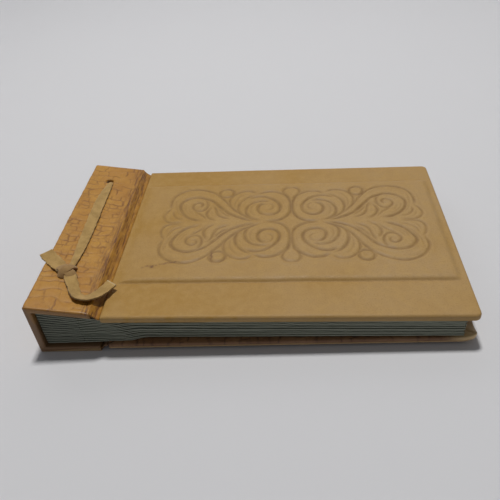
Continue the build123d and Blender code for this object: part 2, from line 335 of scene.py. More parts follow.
def croc_leather(name, tan, deep, crease_colour, dark):
    """Calf embossed with a crocodile pattern. The tiles and creases are in the mesh, as 'crease'."""
    paint = Paint(name)
    paint.base = paint.mix(paint.patches(24, 4, 0.36, 0.66, roughness=0.62), deep, tan)
    streaks = paint.stretched((1.0, 0.16, 1.0))
    paint.coat(paint.patches(2.4, 3, 0.50, 0.70, 0.0, 0.45, roughness=0.6, at=streaks), deep)
    net = paint.spread(paint.cells(1.6, "DISTANCE_TO_EDGE"), 0.0, 0.09, 0.42, 0.0)
    paint.coat(paint.calc("MULTIPLY", net, paint.patches(11, 3, 0.42, 0.58)), crease_colour)
    paint.coat(paint.spread(paint.field("crease"), 0.06, 0.7, 0.0, 0.88), crease_colour)
    streaks = paint.stretched((1.0, 0.30, 1.0))
    flakes = paint.patches(3.0, 5, 0.46, 0.60, roughness=0.68, at=streaks)
    paint.coat(paint.calc("MULTIPLY", paint.field("hinge"), flakes), crease_colour)
    # dark in the hinge cracks and mitre joints, and painted shade in the lace holes and the back panel's
    # foot crease
    paint.coat(paint.spread(paint.field("crack"), 0.0, 0.85, 0.0, 0.95), dark)
    # painted shade on the rims, the end faces and in the lace holes
    paint.coat_field("edge", 0.4, dark)
    # painted shade inside the binding and under the hinge strips
    paint.coat(paint.field("inside"), (0.195, 0.105, 0.046))
    # painted highlight on the rounded rims and the curled corner of the back cover
    paint.coat(paint.field("pale"), (0.62, 0.44, 0.22))
    paint.surface(paint.noise(4, 3), (0.36, 0.54), 0.46)
    paint.bumps(
        (paint.noise(3.2, 4, 0.6), 0.30, 0.30),
        (paint.cells(1.6, "DISTANCE_TO_EDGE"), 0.15, 0.20),
        (paint.noise(0.45, 2), 0.25, 0.08),
    )
    return paint.material


def suede():
    """Undyed lace: grey-beige flesh side with a short nap."""
    paint = Paint("lace_suede")
    paint.base = paint.mix(paint.patches(6, 3, 0.35, 0.65), (0.335, 0.205, 0.062), (0.455, 0.288, 0.098))
    fibre = paint.noise(0.7, 3, 0.7, at=paint.stretched((1.0, 0.22, 1.0)))
    paint.coat(paint.spread(fibre, 0.45, 0.75, 0.0, 0.5), (0.52, 0.345, 0.140))
    paint.coat_field("end", 0.8, (0.60, 0.47, 0.27))
    # painted shade on the lace's side faces
    paint.coat_field("edge", 0.7, (0.15, 0.085, 0.030))
    # painted shade on the knot's turns
    paint.coat(paint.field("worn"), (0.27, 0.150, 0.075))
    paint.surface(fibre, (0.78, 0.95), 0.2)
    paint.put("Sheen Weight", 0.25)
    paint.put("Sheen Roughness", 0.5)
    paint.bumps((paint.noise(2.4, 3), 0.3, 0.3), (fibre, 0.5, 0.15))
    return paint.material


def leaf_card():
    """Dark grey-green album card: mottled pulp, paler fibres, and a tone that differs leaf by leaf."""
    paint = Paint("leaf_card")
    paint.base = paint.mix(paint.patches(16, 4, 0.3, 0.7), (0.165, 0.176, 0.136), (0.235, 0.243, 0.198))
    paint.coat(paint.patches(0.8, 3, 0.52, 0.75, 0.0, 0.5, roughness=0.7), (0.36, 0.36, 0.30))
    paint.coat(paint.field("tone"), (0.070, 0.075, 0.059))
    paint.coat_field("edge", 0.5, (0.33, 0.345, 0.275))
    paint.surface(paint.noise(3, 3), (0.82, 0.95), 0.2)
    paint.bumps((paint.noise(0.6, 4, 0.7), 0.35, 0.12))
    return paint.material


def plain_board(name, low, high, size, grain):
    """Board, lining and guard strips inside the covers and the binding."""
    paint = Paint(name, from_mesh=False)
    paint.base = paint.mix(paint.patches(size, 4, 0.3, 0.7), low, high)
    fibre = paint.noise(grain, 3, 0.7)
    paint.coat(paint.spread(fibre, 0.5, 0.75, 0.0, 0.4), low)
    paint.surface(fibre, (0.78, 0.94), 0.2)
    paint.bumps((fibre, 0.35, 0.12))
    return paint.material


# ---------------------------------------------------------------- mesh helpers
def piece(name, points, faces, material, fields, place):
    """A mesh object from points in millimetres. fields are numbers per point; place is texture space."""
    points = np.asarray(points, float)
    mesh = bpy.data.meshes.new(name)
    mesh.from_pydata((points * MM).tolist(), [], faces)
    mesh.polygons.foreach_set("use_smooth", np.ones(len(mesh.polygons), bool))
    for key, values in fields.items():
        attribute = mesh.attributes.new(key, "FLOAT", "POINT")
        attribute.data.foreach_set("value", np.asarray(values, np.float32).ravel())
    attribute = mesh.attributes.new("place", "FLOAT_VECTOR", "POINT")
    attribute.data.foreach_set("vector", np.asarray(place, float).astype(np.float32).ravel())
    mesh.materials.append(material)
    made = bpy.data.objects.new(name, mesh)
    bpy.context.scene.collection.objects.link(made)
    return made


def grid_faces(rows, columns, start=0):
    """Quads of a grid of points stored row after row."""
    first = start + (np.arange(rows - 1)[:, None] * columns + np.arange(columns - 1)[None, :]).ravel()
    return np.stack([first, first + 1, first + columns + 1, first + columns], 1).tolist()


def band_faces(first, second):
    """Quads between two closed rings of points, given as lists of their indices."""
    turned_first, turned_second = np.roll(first, -1), np.roll(second, -1)
    return np.stack([first, turned_first, turned_second, second], 1).tolist()


def rim_indices(rows, columns):
    """Indices round the rim of a grid of points stored row after row."""
    return np.concatenate([
        np.arange(columns), np.arange(1, rows) * columns + columns - 1,
        (rows - 1) * columns + np.arange(columns - 2, -1, -1), np.arange(rows - 2, 0, -1) * columns,
    ])


def slab_faces(rows, columns):
    """Faces of a closed sheet: a grid of points, a second grid behind it, and the rim between them."""
    count, rim = rows * columns, rim_indices(rows, columns)
    behind = [face[::-1] for face in grid_faces(rows, columns, count)]
    return grid_faces(rows, columns) + behind + band_faces(rim, rim + count)


def tube_faces(rings, size):
    """Faces of a tube of closed rings of points, with its two ends closed."""
    faces = []
    for index in range(rings - 1):
        ring = np.arange(size) + index * size
        faces += band_faces(ring, ring + size)
    return faces + [np.arange(size)[::-1].tolist(), (np.arange(size) + (rings - 1) * size).tolist()]


def outward_normals(made):
    """Turns the faces of a closed mesh so that they look outward."""
    mesh = bmesh.new()
    mesh.from_mesh(made.data)
    bmesh.ops.recalc_face_normals(mesh, faces=mesh.faces)
    mesh.to_mesh(made.data)
    mesh.free()


def bend(made, start, end):
    """Bakes a piece's transform into its mesh; start and end, two places in X and Z, are not used."""
    start, end = [(x * MM, 0, z * MM) for x, z in (start, end)]
    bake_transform(made)


def stand_for(made, slot, *nodes):
    """Hides the CAD nodes that a piece stands for; the piece and its slot are not used."""
    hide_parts(*nodes)


def travelled_along(line):
    """Distance from the start of a line of points to each of them."""
    return np.concatenate([[0], np.cumsum(np.linalg.norm(np.diff(line, axis=0), axis=1))])


def bell(distance, width):
    """1 at no distance, and fading out over about width."""
    return np.exp(-((distance / width) ** 2))


def steps(start, end, spacing):
    """Evenly spaced places from start up to but not including end."""
    count = max(1, round((end - start) / spacing))
    return np.linspace(start, end, count, endpoint=False)


def ripple(x, y, size, seed, waves=7):
    """Smooth unevenness from -1 to 1 over the points x, y, with hollows about size apart."""
    chance = np.random.default_rng(seed)
    total = np.zeros_like(np.asarray(x, float) + np.asarray(y, float))
    for _ in range(waves):
        heading = chance.uniform(0, 2 * math.pi)
        length = size * chance.uniform(0.7, 1.6)
        phase = chance.uniform(0, 2 * math.pi)
        along = x * math.cos(heading) + y * math.sin(heading)
        total = total + np.sin(2 * math.pi * along / length + phase)
    return total / math.sqrt(waves) / 1.4


def smooth(value):
    """Eases 0..1, clamped."""
    value = np.clip(value, 0.0, 1.0)
    return value * value * (3 - 2 * value)


far = 99.0  # a distance beyond the reach of every effect below


def edge_drop(distance, radius):
    """How far a rounded edge of that radius falls at a distance in from the rim."""
    inside = np.clip(radius - distance, 0.0, radius)
    return radius - np.sqrt(np.maximum(radius * radius - inside * inside, 0.0))


def curve_through(points, spacing):
    """Points along a smooth curve through the given plan points, about spacing apart."""
    points = np.asarray(points, float)
    padded = np.vstack([2 * points[0] - points[1], points, 2 * points[-1] - points[-2]])
    found = []
    for a, b, c, d in zip(padded, padded[1:], padded[2:], padded[3:]):
        count = max(2, int(np.linalg.norm(c - b) / spacing))
        for t in np.linspace(0, 1, count, endpoint=False):
            curved = (2 * a - 5 * b + 4 * c - d) * t**2 + (3 * b - a - 3 * c + d) * t**3
            found.append(0.5 * (2 * b + (c - a) * t + curved))
    found.append(points[-1])
    return np.array(found)


# ---------------------------------------------------------------- crocodile embossing
crease_width = 0.6
tile_shoulder = 0.42  # share of a tile's height over which it rises from its crease


def crocodile(across, along, along_end, tile, seed):
    """(crease, crown) of the embossing: crease is 1 in the lines between tiles, crown rises inside each.
    tile(along) gives the tile's size there."""
    chance = np.random.default_rng(seed)
    moved_across = across + 1.7 * ripple(across, along, 19, seed + 1)
    moved_across = moved_across + 0.5 * ripple(across, along, 6, seed + 4)
    moved_along = along + 2.2 * ripple(across, along, 24, seed + 2)
    moved_along = moved_along + 0.6 * ripple(across, along, 7, seed + 3)
    rows = [-6.0]
    while rows[-1] < along_end + 6:
        rows.append(rows[-1] + tile(rows[-1]) * chance.uniform(0.78, 1.25))
    rows = np.array(rows)
    row = np.clip(np.searchsorted(rows, moved_along) - 1, 0, len(rows) - 2)
    crease = np.zeros_like(moved_along)
    crown = np.zeros_like(moved_along)
    low, high = across.min() - 8, across.max() + 8
    for index in range(len(rows) - 1):
        height = rows[index + 1] - rows[index]
        sides = [low - chance.uniform(0, height)]
        while sides[-1] < high:
            sides.append(sides[-1] + height * chance.uniform(0.9, 1.75))
        sides = np.array(sides)
        side_depth = chance.uniform(0.35, 1.0, len(sides))
        row_depth = chance.uniform(0.5, 1.0, len(sides))
        here = row == index
        if not here.any():
            continue
        u, v = moved_across[here], moved_along[here]
        tile_index = np.clip(np.searchsorted(sides, u) - 1, 0, len(sides) - 2)
        to_low, to_high = u - sides[tile_index], sides[tile_index + 1] - u
        nearer = np.where(to_low < to_high, tile_index, tile_index + 1)
        to_side = np.minimum(to_low, to_high)
        to_row = np.minimum(v - rows[index], rows[index + 1] - v)
        lines = np.maximum(
            bell(to_side, crease_width) * side_depth[nearer],
            bell(to_row, crease_width) * row_depth[tile_index],
        )
        crease[here] = lines * smooth(0.66 + 0.62 * ripple(u, v, 13, seed + 5))
        crown[here] = smooth(np.minimum(to_side, to_row) / (tile_shoulder * height))
    return crease, crown


# ---------------------------------------------------------------- covers
def round_corners(a, b, length, half, hinge_radius, fore_radius):
    """Moves points of a rectangle 0..length by -half..half so that its corners become round."""
    a, b = a.copy(), b.copy()
    for side_a, radius in ((-1, hinge_radius), (1, fore_radius)):
        for side_b in (-1, 1):
            centre_a = (length if side_a > 0 else 0.0) - side_a * radius
            centre_b = side_b * (half - radius)
            da, db = (a - centre_a) * side_a / radius, (b - centre_b) * side_b / radius
            corner = (da > 0) & (db > 0)
            da, db = da[corner], db[corner]
            reach = np.maximum(da, db)
            turn = np.where(da >= db, math.pi / 4 * db / da, math.pi / 2 - math.pi / 4 * da / db)
            a[corner] = centre_a + side_a * radius * reach * np.cos(turn)
            b[corner] = centre_b + side_b * radius * reach * np.sin(turn)
    return a, b


rim_band = 3.6  # how far in from a rim the finer grid lines reach


def rim_lines(low, high, inner):
    """Grid lines from low to high, close together near both rims, where the edge is rounded."""
    near = np.array([0.0, 0.12, 0.35, 0.7, 1.15, 1.7, 2.3, 3.0])
    kept = inner[(inner > low + rim_band) & (inner < high - rim_band)]
    return np.concatenate([low + near, kept, high - near[::-1]])


def from_rim(a, b):
    """Distance in from the nearest side of a cover."""
    return np.minimum(np.minimum(a, cover_length - a), album_depth / 2 - np.abs(b))


def wrapped_cover(name, material, lines, sides, to_world, thickness, edge_radius, inner_step):
    """Leather folded round a cover board. Local a runs from the hinge edge, b across, and c outward from
    the inner face. lines are the grid lines along a and b. sides are two functions of a and b, for the
    outside and the inside, which give (height added, fields)."""
    half = album_depth / 2
    (a_lines, b_lines), (outer, inner) = lines, sides
    a, b = [g.ravel() for g in np.meshgrid(*lines)]
    rim = from_rim(a, b)
    a, b = round_corners(a, b, cover_length, half, hinge_corner_radius, fore_corner_radius)
    added, fields = outer(a, b)
    relief_starts = 2.5  # the relief fades out this near the rim
    c = thickness - edge_drop(rim, edge_radius) + added * smooth(rim / relief_starts)
    # edge marks the rim and side faces, for painted light on the front cover and painted shade on the
    # back
    fields["edge"] = bell(rim, 1.4)
    columns, rows = len(a_lines), len(b_lines)
    faces = grid_faces(rows, columns)
    loop = rim_indices(rows, columns)
    loop_a, loop_b = [g.ravel()[loop] for g in np.meshgrid(*lines)]
    # each ring is (distance in from the rim, height): down the side, round under, then the turn-in
    under_radius = 1.3
    rings = [(0.0, thickness - edge_radius - 0.8), (0.0, under_radius)]
    rings += [
        (under_radius * (1 - math.cos(turn)), under_radius * (1 - math.sin(turn)))
        for turn in np.radians([22, 45, 68, 90])
    ]
    rings += [(inset, 0.0) for inset in np.arange(2.5, cover_turn_in, inner_step)]
    lip = 0.25  # the turned-in leather ends in a small bevel, and drops to the lining
    rings += [(cover_turn_in - lip, 0.0), (cover_turn_in, lip), (cover_turn_in, cover_skin + 0.03)]
    all_points = [np.stack([a, b, c], 1)]
    all_fields = {key: [values] for key, values in fields.items()}
    previous, total = loop, len(a)
    for inset, height in rings:
        share_a, share_b = 1 - 2 * inset / cover_length, 1 - inset / half
        ring_a, ring_b = inset + loop_a * share_a, loop_b * share_b
        shifted_a, ring_b = round_corners(
            ring_a - inset, ring_b, cover_length - 2 * inset, half - inset,
            max(hinge_corner_radius - inset, 0.05), max(fore_corner_radius - inset, 0.05),
        )
        ring_a = shifted_a + inset
        lift, ring_fields = inner(ring_a, ring_b)
        on_face = smooth((inset - 0.6) / 1.5) * (1 if inset < cover_turn_in - 0.1 else 0)
        all_points.append(np.stack([ring_a, ring_b, height - lift * on_face], 1))
        # the side faces carry the edge mark too, for painted light and shade
        ring_fields["edge"] = np.full(len(loop), math.exp(-(inset**2)))
        for key in all_fields:
            all_fields[key].append(ring_fields.get(key, np.zeros(len(loop))))
        current = np.arange(total, total + len(loop))
        faces += band_faces(current, previous)
        previous, total = current, total + len(loop)
    faces.append(previous.tolist())
    points = np.vstack(all_points)
    fields = {key: np.concatenate(values) for key, values in all_fields.items()}
    return piece(name, to_world(points), faces, material, fields, points)


def front_place(points):
    """Local points of the front cover in the row frame: c is up, and it falls to the fore-edge."""
    turn = math.atan(front_fall)
    a, b, c = points.T
    return np.stack([
        cover_x + a * math.cos(turn) + c * math.sin(turn),
        b,
        front_inner_z - a * math.sin(turn) + c * math.cos(turn),
    ], 1)


corner_lift = 2.6  # the near fore corner of the back cover has curled up
corner_reach = 10.5


def back_place(points):
    """Local points of the back cover in the row frame: c is down."""
    a, b, c = points.T
    from_corner = np.hypot(cover_length - a, b + album_depth / 2)
    lift = corner_lift * smooth(1 - from_corner / corner_reach)
    return np.stack([cover_x + a, b, np.maximum(back_inner_z - c + lift, 0.0)], 1)


# ---------------------------------------------------------------- tooled ornament
ornament_x = 29.4  # middle of the ornament in the row frame
ornament_y = 8.85
ornament_half = (106.0, 52.5)

# One quarter of the ornament, in millimetres out from its middle along the cover and across it.
# Each stroke is (points, width, depth, side): side is 1 or -1 where the leather beside the line is
# bevelled down on its left or right, and 0 where it isn't.
strokes = [
    # outer line of the long C-scroll
    ([(100.5, 22), (101.3, 32), (98.5, 40.5), (92.5, 46.6), (85, 49.4), (77, 49.2), (69.5, 46.4),
      (63.5, 42.2), (58.5, 36.5), (54, 30), (50, 22.8), (45.5, 16), (39.5, 9.8), (32.5, 5),
      (25.5, 2)], 1.15, 0.62, -1),
    # inner line of the C-scroll, round the volute
    ([(73.5, 3.4), (79.5, 5.6), (85.5, 10), (90.3, 17), (93, 25), (91, 31), (86, 35.4), (79, 36.8),
      (72, 34.6), (65.5, 31), (60.5, 25), (55.5, 18), (50.5, 11.8), (44.5, 7.2), (37.5, 3.8),
      (30, 1.6)], 1.3, 0.72, 1),
    # volute
    ([(72.8, 33.8), (70.3, 29.5), (69.8, 24), (71.5, 19.3), (75.5, 17), (79.6, 18.6), (82, 22.5),
      (81, 27), (77.3, 28.8), (74.3, 26.6), (75, 23.4), (77.6, 23.2)], 1.0, 0.6, 1),
    ([(79.8, 18.2), (76.8, 14.6), (73, 11.4), (70, 7.6), (68.5, 4.6)], 0.85, 0.5, 0),
    ([(89, 25), (87.6, 19), (84.4, 13.8), (79.6, 9.6)], 0.6, 0.26, 0),
    ([(85.8, 22.5), (84, 17.4), (80.5, 13)], 0.55, 0.22, 0),
    # fluting on the scroll's shoulder
    ([(97.4, 36), (97.3, 29.5), (95.7, 22.5), (92.8, 15.5), (88.6, 10.2)], 0.65, 0.26, 0),
    ([(94.2, 42), (90, 44.8), (84, 45.6)], 0.6, 0.2, 0),
    # leaves between the volute and the scroll
    ([(66.4, 22.5), (69, 16.5), (68.8, 10.5), (65.8, 5.8), (61.4, 2.6)], 1.05, 0.6, 1),
    ([(64.6, 25.6), (62, 19.5), (60.8, 13.5), (58.4, 8.8), (54.4, 6), (49.8, 4.2)], 1.0, 0.55, 0),
    ([(60.6, 20.8), (57.4, 15.4), (53.6, 10.8), (49.2, 7.4)], 0.85, 0.5, 0),
    # end lobe
    ([(99.6, 21.5), (102.6, 16), (103.8, 9.8), (102.2, 4.8), (98.2, 1.7), (92.5, 0.9), (86.5, 1.4)],
      1.0, 0.55, -1),
    ([(97.4, 19), (96.6, 13.4), (94.2, 9.2), (90, 6.2), (85.5, 5)], 0.85, 0.45, 0),
    ([(99.4, 12.6), (98.4, 7.8), (95.2, 4.4)], 0.6, 0.26, 0),
    # spiral beside the middle: outer ring, second ring and eye
    ([(28.6, 41), (23, 43.9), (16.5, 44.6), (10.5, 42.6), (5.2, 38.4), (2, 32.2), (0.7, 25),
      (0.7, 17), (2.4, 10.6), (5.4, 5.8), (9.6, 2.5), (15, 0.9), (21, 0.9)], 1.25, 0.66, -1),
    ([(35.2, 34), (29.5, 37), (22.5, 36.6), (16.2, 33.2), (11.4, 28), (9, 21.8), (9.6, 15.6),
      (13.2, 11.2), (18.4, 9.6), (23.4, 11.2), (26.3, 15.6), (26.3, 21), (23.6, 25.2),
      (19.2, 26.2)], 1.25, 0.7, 1),
    ([(19.2, 26.2), (15.6, 24.6), (14.2, 20.8), (16.2, 17.2), (19.6, 16.6)], 0.85, 0.4, 0),
    ([(17, 29.2), (22.4, 30.2), (28.2, 29.2), (33, 25.6), (36, 19.8), (36.6, 13.4), (34.6, 8.2),
      (30.4, 4.4), (25.2, 2.2)], 1.15, 0.62, 1),
    ([(29.6, 25.2), (32.3, 19.6), (32.1, 13), (29.2, 8)], 0.65, 0.28, 0),
    # crescent leaf on its outer side
    ([(31.4, 39.6), (36.4, 36.4), (40.6, 31.6), (43, 25.6), (43.6, 19.4), (42.2, 13.6),
      (38.6, 8.6)], 1.15, 0.6, 1),
    ([(29.6, 42.4), (34.6, 45.7), (40.6, 45.8), (46, 43), (49.8, 37.8), (51.4, 31.4), (50.6, 24.6),
      (48, 18.6)], 1.1, 0.58, -1),
    ([(38.4, 42), (43.2, 38), (46.2, 32.2), (46.8, 25.6), (45.6, 19.6)], 0.65, 0.26, 0),
    # teardrop over the middle
    ([(-1.5, 50.2), (3.8, 49.4), (6.7, 45.4), (5.9, 40.8), (3, 36), (0.6, 31.6)], 1.1, 0.6, -1),
]
bead_at, bead_radius = (54.8, 43.6), 6.2
bead_turns = [
    (bead_at[0] + bead_radius * math.cos(t), bead_at[1] + bead_radius * math.sin(t))
    for t in np.linspace(0, 2 * math.pi, 17)
]
strokes.append((bead_turns, 1.15, 0.66, -1))


swell, swell_at, swell_width = 0.30, 2.6, 1.7  # the leather rises a little beside each line
bevel_share, bevel_width = 0.5, 2.2  # of the line's depth, and how far the bevel reaches
full_stain_depth = 0.62


def tooling(x, y):
    """(height, groove) of the ornament at points in the row frame."""
    out_x = x - ornament_x + 0.7 * ripple(x, y, 46, 21)
    out_y = y - ornament_y + 0.6 * ripple(x, y, 40, 22)
    u, v = np.abs(out_x), np.abs(out_y)
    groove = np.zeros_like(u)
    bevel = np.zeros_like(u)
    nearest = np.full_like(u, far)
    reach = 5.0
    for points, width, depth, side in strokes:
        line = curve_through(points, 0.45)
        run = np.gradient(line, axis=0)
        run /= np.linalg.norm(run, axis=1)[:, None] + 1e-9
        closed = np.linalg.norm(line[0] - line[-1]) < 0.5
        travelled = travelled_along(line)
        from_end = np.minimum(travelled, travelled[-1] - travelled) + (far if closed else 0.0)
        fade = smooth(0.25 + from_end / 7)  # a stroke starts and ends shallow
        low, high = line.min(0) - reach, line.max(0) + reach
        here = np.nonzero((u > low[0]) & (u < high[0]) & (v > low[1]) & (v < high[1]))[0]
        for part in np.array_split(here, max(1, len(here) // 4000)):
            du = u[part, None] - line[None, :, 0]
            dv = v[part, None] - line[None, :, 1]
            squared = du * du + dv * dv
            best = squared.argmin(1)
            rows = np.arange(len(part))
            distance = np.sqrt(squared[rows, best])
            cut = depth * fade[best] * bell(distance, width)
            groove[part] = np.maximum(groove[part], cut)
            nearest[part] = np.minimum(nearest[part], distance)
            if side:
                offset = side * (run[best, 0] * dv[rows, best] - run[best, 1] * du[rows, best])
                lowered = bevel_share * depth * fade[best] * np.exp(-distance / bevel_width)
                bevel[part] = np.maximum(bevel[part], lowered * (offset > 0))
    raised = swell * bell(nearest - swell_at, swell_width)
    return raised - np.maximum(groove, bevel), np.clip(groove / full_stain_depth, 0, 1)


panel_crown, panel_crown_reach = 0.45, 14  # the padding is a little fuller away from its sides
panel_foot = 0.34  # depth of the crease at the panel's foot


def panel_height(a, b, side):
    """Rise of the leather over the padded panel, with a crease at its foot. side is 1 where local b runs
    towards the head."""
    half = album_depth / 2
    from_tail = side * b + half - panel_tail_margin
    from_head = half - side * b - panel_head_margin
    from_hinge = a - panel_hinge_margin + hinge_slope_ahead
    from_fore = cover_length - panel_fore_margin - a
    rise = np.ones_like(a)
    slopes = ((from_tail, 5.0), (from_head, 6.0), (from_hinge, hinge_slope), (from_fore, 5.5))
    for distance, run in slopes:
        rise = np.minimum(rise, 1 - np.clip(1 - distance / run, 0, 1) ** 2.3)
    creased = np.minimum(from_tail, from_head)  # only these sides have a crease
    inside = np.minimum(creased, np.minimum(from_hinge, from_fore))
    crown = panel_crown * (1 - np.exp(-np.clip(inside, 0, None) / panel_crown_reach))
    share = smooth(from_hinge / 12) * smooth(from_fore / 6)
    foot = panel_foot * bell(creased, 0.9) * share
    # the second value marks the crease at the foot, which the material darkens as painted shade
    return panel_rise * rise + crown - foot, bell(creased, 0.8) * share


def front_outer(a, b):
    """Height and fields of the outside of the front cover."""
    x, y = cover_x + a, b
    rise, foot = panel_height(a, b, 1)
    height, groove = tooling(x, y)
    waves = 0.16 * ripple(x, y, 55, 31) + 0.05 * ripple(x, y, 9, 32)
    # the foot's crease joins the tool lines for painted shade, and 'panel' marks where the painted sheen
    # goes
    tool = np.clip(groove + 0.35 * foot, 0, 1)
    fields = {"tool": tool, "stain": stains(x, y), "panel": smooth(rise / panel_rise)}
    return rise + height + waves, fields


def stains(x, y):
    """Old ink or rust specks that run below the lower left of the ornament, and one reddish touch."""
    mark = np.zeros_like(x)
    trail_start, trail_end = np.array([-80.0, -45.4]), np.array([-56.0, -39.5])
    chance = np.random.default_rng(5)
    for share in np.linspace(0, 1, 22):
        spot = trail_start + share * (trail_end - trail_start) + chance.normal(0, 0.35, 2)
        size = chance.uniform(0.45, 0.85)
        strength = chance.uniform(0.5, 1.0)
        mark = np.maximum(mark, strength * bell(x - spot[0], size) * bell(y - spot[1], size))
    drop = bell(x + 73.4, 1.4) * bell(y + 45.1, 1.4)
    across = x + 30.3 + 0.10 * (y + 33.5) + 0.4 * np.sin(y * 1.3)
    touch = bell(across, 0.8) * bell(y + 33.5, 5.5)
    return np.maximum(np.maximum(mark, drop), 0.8 * touch)


def cover_inner(a, b):
    """Turned-in leather: a little uneven."""
    return 0.1 * ripple(a, b, 14, 41), {}


def back_outer(a, b):
    """Height and fields of the outside of the back cover, embossed all over."""
    rise, foot = panel_height(a, b, -1)
    crease, crown = crocodile(b + 100, a, cover_length, lambda v: 9.5, 51)
    from_corner = np.hypot(cover_length - a, b + album_depth / 2)
    # painted highlight at the curled near fore corner and along the rims
    pale = np.maximum(smooth(1.2 - from_corner / 11), 0.6 * bell(from_rim(a, b), 1.6))
    # the crease at the panel's foot gets painted shade, through the same mark as the cracks
    return rise - 0.30 * crease + 0.14 * crown, {"crease": crease, "crack": 0.5 * foot, "pale": pale}


def back_inner(a, b):
    """Turn-ins of the back cover, with the mitres where they meet at the corners."""
    half = album_depth / 2
    crease, crown = crocodile(b + 100, a, cover_length, lambda v: 8.0, 52)
    mitre = np.full_like(a, far)
    for from_end in (a, cover_length - a):
        near_corner = (from_end < cover_turn_in) & (half - np.abs(b) < cover_turn_in)
        gap = np.abs(from_end - (half - np.abs(b))) / math.sqrt(2)
        mitre = np.where(near_corner, np.minimum(mitre, gap), mitre)
    cut = bell(mitre, 0.7)
    from_corner = np.hypot(cover_length - a, b + half)
    # painted highlight towards the curled near fore corner
    pale = smooth(1.25 - from_corner / 19)
    height = 0.12 * crown - 0.25 * crease - 0.45 * cut
    return height, {"crease": crease, "crack": 0.8 * cut, "pale": pale}


def make_covers(leather, croc):
    grain = 0.71  # grid step where the leather is tooled
    plain_step = 1.3
    border_step = 1.6
    near_head_step = 0.8
    foot = 2.5  # the crease at the panel's foot needs the finer steps this far from it
    middle = ornament_x - cover_x
    fine = steps(middle - ornament_half[0], middle + ornament_half[0], grain)
    a_lines = np.concatenate([
        steps(rim_band, fine[0], plain_step), fine,
        steps(fine[-1] + grain, cover_length - rim_band, plain_step),
    ])
    fine = steps(ornament_y - ornament_half[1], ornament_y + ornament_half[1], grain)
    tail_foot = tail_y + panel_tail_margin - foot
    head_foot = head_y - panel_head_margin + foot
    b_lines = np.concatenate([
        steps(tail_y + rim_band, tail_foot, border_step), steps(tail_foot, fine[0], grain), fine,
        steps(fine[-1] + grain, head_foot, near_head_step),
        steps(head_foot, head_y - rim_band, border_step),
    ])
    lines = (rim_lines(0, cover_length, a_lines), rim_lines(tail_y, head_y, b_lines))
    sides = (front_outer, cover_inner)
    front = wrapped_cover("front_leather", leather, lines, sides, front_place, front_thickness, 2.0, 2.1)
    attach(front, "front_cover")
    stand_for(front, "tooled_leather", "front_cover_leather", "front_cover_panel")
    spans = ((0, cover_length), (tail_y, head_y))
    lines = [rim_lines(low, high, steps(low, high, 0.95)) for low, high in spans]
    sides = (back_outer, back_inner)
    back = wrapped_cover("back_leather", croc, lines, sides, back_place, back_thickness, 1.8, 1.25)
    back.data.flip_normals()
    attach(back, "back_cover")
    stand_for(back, "embossed_leather", "back_cover_leather", "back_cover_board", "back_cover_panel")


# ---------------------------------------------------------------- binding
def tile_size(along):
    """Crocodile tiles on the binding are large near the head and tail and small in the middle."""
    return 5.2 + 3.6 * abs(2 * along / album_depth - 1) ** 1.6


crease_depth, tile_crown, crack_depth, waviness = 0.28, 0.10, 0.45, 0.14
hinge_starts = 37.5  # from the spine edge; from here on the tiles are worn low, and the leather cracks
crack_places = (38.8, 40.6, 42.2, 43.7, 45.4, 47.2, 49.0, 50.6)


def hinge_cracks(across, along):
    """Broken lines that run along the hinge, across being the distance from the spine edge."""
    cracks, level = np.zeros_like(across), np.zeros_like(along)
    for number, place in enumerate(crack_places):
        line = place + 0.55 * ripple(along, level, 30, 61 + number)
        line = line + 0.2 * ripple(along, level, 6, 81 + number)
        broken = smooth(0.55 + 0.9 * ripple(along, level, 19, 101 + number))
        near_edge = 0.35 + 0.65 * smooth((place - 38) / 5)
        cracks = np.maximum(cracks, near_edge * broken * bell(across - line, 0.42))
    return cracks


def binding_relief(across, along):
    """(height, fields) of the embossed leather; across starts at the upper spine edge."""
    crease, crown = crocodile(across, along, album_depth, tile_size, 71)
    hinge = smooth((across - hinge_starts) / 4)
    cracks = hinge_cracks(across, along)
    keep = 1 - 0.65 * hinge
    height = (tile_crown * crown - crease_depth * crease) * keep - crack_depth * cracks
    height = height + waviness * ripple(across, along, 25, 72)
    return height, {"crease": crease * keep, "crack": cracks, "hinge": 0.55 * hinge}


def outline_with_arcs(corners, spacing):
    """Points and outward normals along a path of straight runs with rounded corners. corners are
    (x, z, radius); the outside is on the left of the path."""
    points, normals = [], []
    places = [np.array(c[:2], float) for c in corners]
    entry = places[0]
    for index in range(1, len(corners)):
        before, here = places[index - 1], places[index]
        run = (here - before) / np.linalg.norm(here - before)
        radius = corners[index][2]  # 0 at the last
        if radius:
            after = places[index + 1] - here
            after /= np.linalg.norm(after)
            turn = math.atan2(run[0] * after[1] - run[1] * after[0], run @ after)
            cut = radius * math.tan(abs(turn) / 2)
        else:
            cut, turn, after = 0.0, 0.0, run
        leave = here - run * cut
        count = max(2, int(np.linalg.norm(leave - entry) / spacing))
        normal = np.array([-run[1], run[0]])
        for t in np.linspace(0, 1, count, endpoint=not radius):
            points.append(entry + (leave - entry) * t)
            normals.append(normal)
        if radius:
            centre = leave - math.copysign(1, -turn) * normal * radius
            arc = max(3, int(radius * abs(turn) / (0.6 * spacing)))
            for t in np.linspace(0, 1, arc, endpoint=False):
                angle = turn * t
                swung = np.array([
                    normal[0] * math.cos(angle) - normal[1] * math.sin(angle),
                    normal[0] * math.sin(angle) + normal[1] * math.cos(angle),
                ])
                points.append(centre + math.copysign(1, -turn) * swung * radius)
                normals.append(swung)
        entry = here + after * cut
    return np.array(points), np.array(normals)


binding_end_radius = 1.2
hole_depth = 3.6
hole_wall = 0.9  # the leather slopes into a hole over this distance
dimple_depth, dimple_width = 0.35, 4.2  # the lace has pressed the leather down round its holes
channel_depth = 1.35  # the lace lies in a channel on the underside
inner_spacing = 2.5
inside_place = 300.0  # the inside takes its texture from a place of its own


